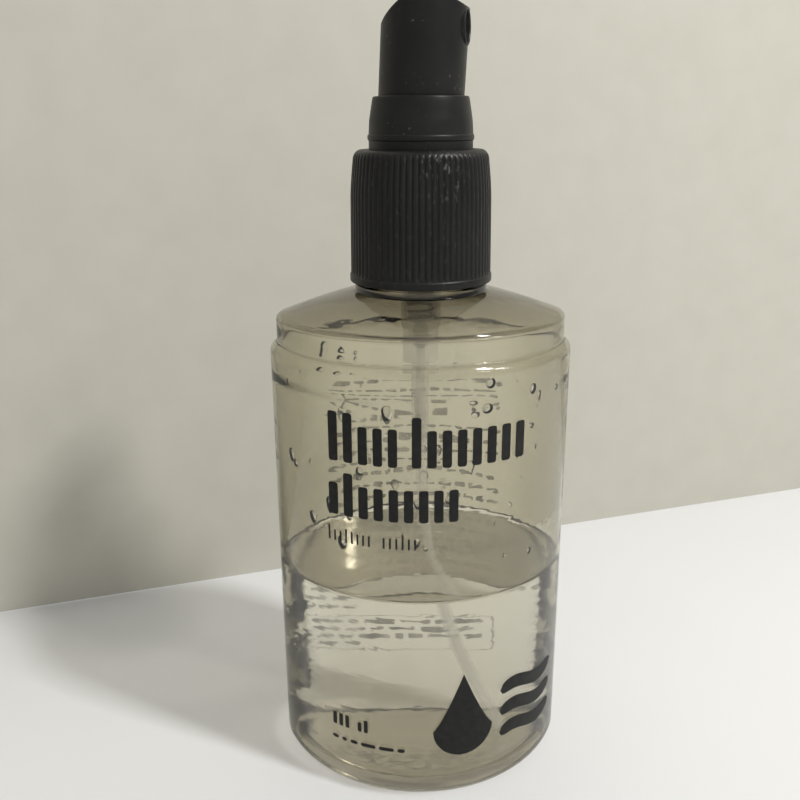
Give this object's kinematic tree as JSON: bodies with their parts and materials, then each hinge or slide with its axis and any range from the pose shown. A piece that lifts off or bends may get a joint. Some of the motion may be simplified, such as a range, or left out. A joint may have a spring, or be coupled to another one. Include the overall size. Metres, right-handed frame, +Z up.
{
  "type": "spray bottle",
  "caption": "Oval clear plastic spray bottle, part filled with lens cleaning gel, with a ribbed black screw collar and a finger-press mist pump whose head swivels.",
  "frame": {"origin": "middle of the bottle's standing ring, on the surface that it stands on", "axes": "+Z up along the bottle and pump, X along the bottle's width, Y through its depth, and the printed front faces -Y"},
  "size_m": [0.062, 0.0496, 0.1606],
  "materials": {
    "smoky_clear_plastic": "gloss",
    "clear_gel": "gloss",
    "black_polypropylene": "satin",
    "black_acetal": "satin",
    "white_foam": "matte",
    "natural_polypropylene": "satin",
    "natural_polyethylene": "satin",
    "clear_tube": "gloss",
    "stainless_spring": "satin",
    "stainless_ball": "polished"
  },
  "bodies": {
    "bottle": {"bottle": "smoky_clear_plastic", "cleaning_gel": "clear_gel"},
    "pump": {"pump_housing": "natural_polypropylene", "turret": "black_polypropylene", "neck_gasket": "white_foam", "lock_bush": "natural_polypropylene", "dip_tube": "clear_tube", "return_spring": "stainless_spring"},
    "collar": {"screw_collar": "black_polypropylene"},
    "stem": {"stem": "natural_polypropylene"},
    "piston": {"piston": "natural_polyethylene"},
    "inlet_ball": {"inlet_ball": "stainless_ball"},
    "spray_head": {"actuator": "black_polypropylene", "nozzle_insert": "black_acetal"}
  },
  "joints": [
    {"name": "pump_lift", "type": "slide", "parent": "bottle", "child": "pump", "axis": [0, 0, 1], "range_m": [0, 0.0048]},
    {"name": "collar_turn", "type": "hinge", "parent": "pump", "child": "collar", "pos_m": [0, 0, 0.115], "axis": [0, 0, 1], "range_deg": [0, 540]},
    {"name": "actuator_press", "type": "slide", "parent": "pump", "child": "stem", "axis": [0, 0, -1], "range_m": [0, 0.0045], "stiffness_N_per_m": 1500, "springref_m": -0.004, "deforming": ["return_spring"]},
    {"name": "head_swivel", "type": "hinge", "parent": "stem", "child": "spray_head", "pos_m": [0, 0, 0.148], "axis": [0, 0, 1], "continuous": true},
    {"name": "piston_slip", "type": "slide", "parent": "stem", "child": "piston", "axis": [0, 0, 1], "range_m": [0, 0.0005]},
    {"name": "inlet_ball_lift", "type": "slide", "parent": "pump", "child": "inlet_ball", "axis": [0, 0, 1], "range_m": [0, 0.0008]}
  ],
  "couplings": [
    {"joint": "pump_lift", "follows": "collar_turn", "m_per_rad": 0.00050532}
  ]
}
